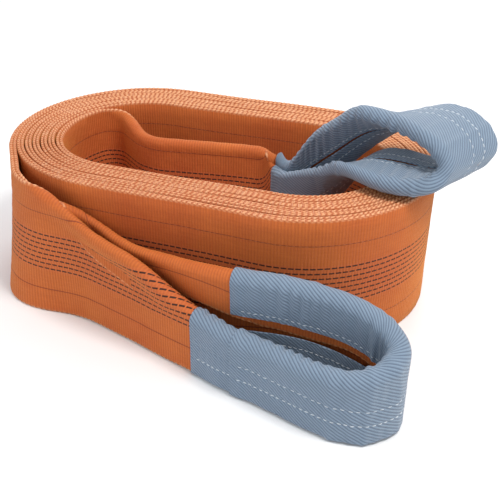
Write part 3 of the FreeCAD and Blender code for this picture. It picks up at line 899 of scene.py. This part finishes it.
LEVELS = {"lower": SEAM_INSET, "upper": WIDTH - SEAM_INSET}
SEAM_STITCH = {"thick": 0.4 * MM, "length": 6 * MM, "gap": 4 * MM}
for level_name, level in LEVELS.items():
    lines = [seam_line(face, level) for face in (outside, inside)]
    row = stitches("coil_%s_stitches" % level_name, lines, seed=5, **SEAM_STITCH)
    finish_piece(row, orange_thread, ["coil_%s_seam" % level_name], body="coil")

# The stretches where a web passes from one body to the next: the two bodies, then two points on the web.
FRONT_HINGE = ("coil", "front_tail", plan_point(0.04), plan_point(-0.05))
FRONT_CROTCH = ("front_tail", "front_eye", plan_point(-0.165), plan_point(-0.26))
REAR_HINGE = ("coil", "rear_tail", plan_point(COIL_LENGTH - 0.02), plan_point(COIL_LENGTH + 0.03))
REAR_CROTCH = ("rear_tail", "rear_eye", plan_point(REAR_END - 0.03), plan_point(REAR_END + 0.05))


def eye_strip(name, node, eye, runs, run_is, covered=None):
    """A length of an eye's strip, folded a little tighter where a sleeve covers it.

    run_is is the run that the ribs and the woven dashes follow.
    """
    frames = eye.frames(runs)
    if covered:
        under = ease(runs, covered[0], covered[0] + UNDER) * ease(-runs, -covered[1], UNDER - covered[1])
        frames["radius"] = frames["radius"] - TIGHTER * under[:, None]
    level = np.linspace(PLY / 2, WIDTH - PLY / 2, EYE_COLUMNS)
    across = np.tile(level, (len(runs), 1))
    obj, right = thicken(name, web_points(frames, level), run_is, across, PLY, web_relief, ROPE)[:2]
    finish_piece(obj, webbing, [node])
    return right


OVERLAP, OVERLAP_FADE = 14 * MM, 16 * MM  # of a lapped sleeve: on its neighbour, and settling beyond it


def sleeve_piece(prefix, part, eye, first, last, creases, lapped=0.0):
    """A sleeve from one run to another; a lapped one starts over the end of its neighbour."""
    node = "%s_eye_%s" % (prefix, part)
    runs = even(first, last, SLEEVE_STEP)
    frames = eye.frames(runs)
    fade = ease(runs, first + OVERLAP, first + OVERLAP + OVERLAP_FADE)
    lift = lapped * (1 - fade)[:, None]
    legs = sleeve_legs(frames, lift)[0]
    total = sum(legs)
    across = np.linspace(0, 1, SLEEVE_COLUMNS) * total - legs[0] - legs[1]
    grid = sleeve_points(frames, across, lift)
    obj, right = thicken(node + "_cloth", grid, runs, across, SLEEVE, sleeve_relief(creases))[:2]
    finish_piece(obj, sleeve_cloth, [node], body=prefix + "_eye")
    return right


def row_piece(prefix, part, face, level, edge=None, **stitch):
    """A row of white stitches along a sleeve, clear of its two ends."""
    row = stitches("%s_%s_stitches" % (prefix, part), [seam_line(face, level, edge, 4, -4)], **stitch)
    finish_piece(row, white_thread, ["%s_%s_row" % (prefix, part)], body=prefix + "_eye")


# ---------------------------------------------------------------- tails and eyes
FRONT_ROLL, FRONT_PINCH = 13 * MM, -0.16
front_eye = Eye(FRONT_EYE, even(0.14, -TAIL_LENGTH, TAIL_STEP), 1, -1, FRONT_ROLL, FRONT_PINCH)
rear_eye = Eye(REAR_EYE, even(COIL_LENGTH - 0.10, REAR_END, TAIL_STEP), -1, 1, 0, 0)


def build_tail(prefix, eye, coil_run, split, sides, sign):
    """Both plies of a tail, from the coil to the place where the eye's own strip takes over."""
    away = even(coil_run, split, FINE)
    both_crotches = eye.return_crotch + eye.crotch
    back = even(both_crotches - split, both_crotches - coil_run, FINE)
    faces = [
        eye_strip("%s_%s_web" % (prefix, side), "%s_%s_ply" % (prefix, side), eye, runs, sign * places)
        for side, runs, places in zip(sides, (away, back), (away, both_crotches - back))
    ]
    for level_name, level in LEVELS.items():
        name = "%s_%s" % (prefix, level_name)
        row = stitches(name + "_stitches", [seam_line(faces[0], level)], seed=6, **SEAM_STITCH)
        finish_piece(row, orange_thread, [name + "_seam"])


def build_eye_web(name, eye, split, first, last, sign):
    """The strip of one eye, finer where it is bare than between the ends of its sleeve."""
    first, last = first + UNDER, last - UNDER
    runs = np.concatenate([
        even(split, first, FINE)[:-1],
        even(first, last, UNDER_STEP)[:-1],
        even(last, eye.return_crotch + eye.crotch - split, FINE),
    ])
    eye_strip(name + "_webbing", name + "_web", eye, runs, sign * runs, (first, last))


FRONT_SPLIT, REAR_SPLIT = 0.12, REAR_END - 0.10
build_tail("front_tail", front_eye, -FIRST, FRONT_SPLIT, ("outer", "inner"), -1)
build_tail("rear_tail", rear_eye, LAST, REAR_SPLIT, ("inner", "outer"), 1)

# The sleeves, by the length of bare web at each end of the eye; the front one laps its cuff.
FRONT_START, FRONT_STOP = front_eye.crotch + 0.295, front_eye.return_crotch - 0.346
REAR_START, REAR_STOP = rear_eye.crotch + 0.063, rear_eye.return_crotch - 0.065
LAP = FRONT_START + 0.092
LAP_LIFT = 2.4 * MM
build_eye_web("front_eye", front_eye, FRONT_SPLIT, FRONT_START, FRONT_STOP, -1)
build_eye_web("rear_eye", rear_eye, REAR_SPLIT, REAR_START, REAR_STOP, 1)

CUFF_CREASES = [(FRONT_START + 0.05, 20 * MM, 0.8 * MM, 0.1)]
FRONT_CREASES = [
    (LAP + 0.155, 9 * MM, 1.6 * MM, 0.05),
    (LAP + 0.175, 8 * MM, -1.2 * MM, 0.10),
    (LAP + 0.200, 9 * MM, 1.8 * MM, -0.05),
    (LAP + 0.225, 8 * MM, -1.0 * MM, 0.0),
    (LAP + 0.250, 10 * MM, 1.5 * MM, 0.08),
    (LAP + 0.305, 9 * MM, 1.4 * MM, -0.10),
    (LAP + 0.345, 10 * MM, 1.2 * MM, 0.06),
    (LAP + 0.420, 12 * MM, 1.2 * MM, -0.12),
    (LAP + 0.500, 12 * MM, 1.0 * MM, 0.10),
]
REAR_CREASES = []
for number, share in enumerate((0.16, 0.24, 0.33, 0.40, 0.46, 0.51, 0.56, 0.62, 0.70, 0.80)):
    crease_run = REAR_START + share * (REAR_STOP - REAR_START)
    crease_height = (1.6 if number % 2 else -1.0) * MM
    REAR_CREASES.append((crease_run, 9 * MM, crease_height, 0.12 - 0.03 * number))

cuff = sleeve_piece("front", "cuff", front_eye, FRONT_START, LAP, CUFF_CREASES)
main_sleeve = sleeve_piece(
    "front", "sleeve", front_eye, LAP - OVERLAP, FRONT_STOP, FRONT_CREASES, LAP_LIFT
)
rear_sleeve = sleeve_piece("rear", "sleeve", rear_eye, REAR_START, REAR_STOP, REAR_CREASES)

THIN = 0.6 * MM
row_piece("front", "cuff", cuff, LOWER_ROW, seed=11)
for prefix, face in (("front", main_sleeve), ("rear", rear_sleeve)):
    row_piece(prefix, "edge", face, LOWER_ROW, seed=12)
    row_piece(prefix, "second", face, UPPER_ROW, thick=THIN, gap=4 * MM, seed=13)
    row_piece(prefix, "band", face, BAND_ROW, "far", thick=THIN, seed=14)
    row_piece(prefix, "lip", face, LIP_ROW, "near", gap=1 * MM, seed=15)

# ---------------------------------------------------------------- floor, light and camera
FLOOR_SIZE = 40
bpy.ops.mesh.primitive_plane_add(size=FLOOR_SIZE, location=(0, 0, 0))
floor = bpy.context.object
floor.name = "floor"
floor.data.materials.append(floor_material())

world = bpy.data.worlds.new("studio")
bpy.context.scene.world = world
world.use_nodes = True
background = world.node_tree.nodes["Background"]
background.inputs["Color"].default_value = (0.95, 0.97, 1.0, 1)
background.inputs["Strength"].default_value = 0.72


AIM = Vector((0, 0, 0.1))


def soft_light(name, place, power, size, colour):
    """A round area light that points at the sling."""
    light = bpy.data.lights.new(name, "AREA")
    light.shape = "DISK"
    light.size = size
    light.energy = power
    light.color = colour
    obj = bpy.data.objects.new(name, light)
    obj.location = place
    obj.rotation_mode = "QUATERNION"
    obj.rotation_quaternion = (AIM - obj.location).to_track_quat("-Z", "Y")
    bpy.context.scene.collection.objects.link(obj)


soft_light("key", Vector((1.3, -0.5, 2.6)), 54, 0.9, (1.0, 0.98, 0.95))
soft_light("fill", Vector((-2.3, -1.7, 1.5)), 17, 1.6, (0.95, 0.97, 1.0))
soft_light("back", Vector((-0.4, 3.4, 2.6)), 60, 2.5, (1.0, 1.0, 1.0))

AZIMUTH, ELEVATION, DISTANCE = math.radians(20.84), math.radians(31.0), 1.55
TARGET = Vector((-0.0056, 0.0542, 0.0471))
FOCAL_LENGTH, SENSOR_WIDTH, SHIFT_X = 59.95, 36, 0.0382
camera_data = bpy.data.cameras.new("camera")
camera = bpy.data.objects.new("camera", camera_data)
bpy.context.scene.collection.objects.link(camera)
bpy.context.scene.camera = camera
to_camera = Vector((
    math.sin(AZIMUTH) * math.cos(ELEVATION),
    -math.cos(AZIMUTH) * math.cos(ELEVATION),
    math.sin(ELEVATION),
))
camera.location = TARGET + to_camera * DISTANCE
camera.rotation_mode = "QUATERNION"
camera.rotation_quaternion = (-to_camera).to_track_quat("-Z", "Y")
camera_data.lens = FOCAL_LENGTH
camera_data.sensor_width = SENSOR_WIDTH
camera_data.shift_x = SHIFT_X
bpy.context.scene.view_settings.view_transform = "Standard"
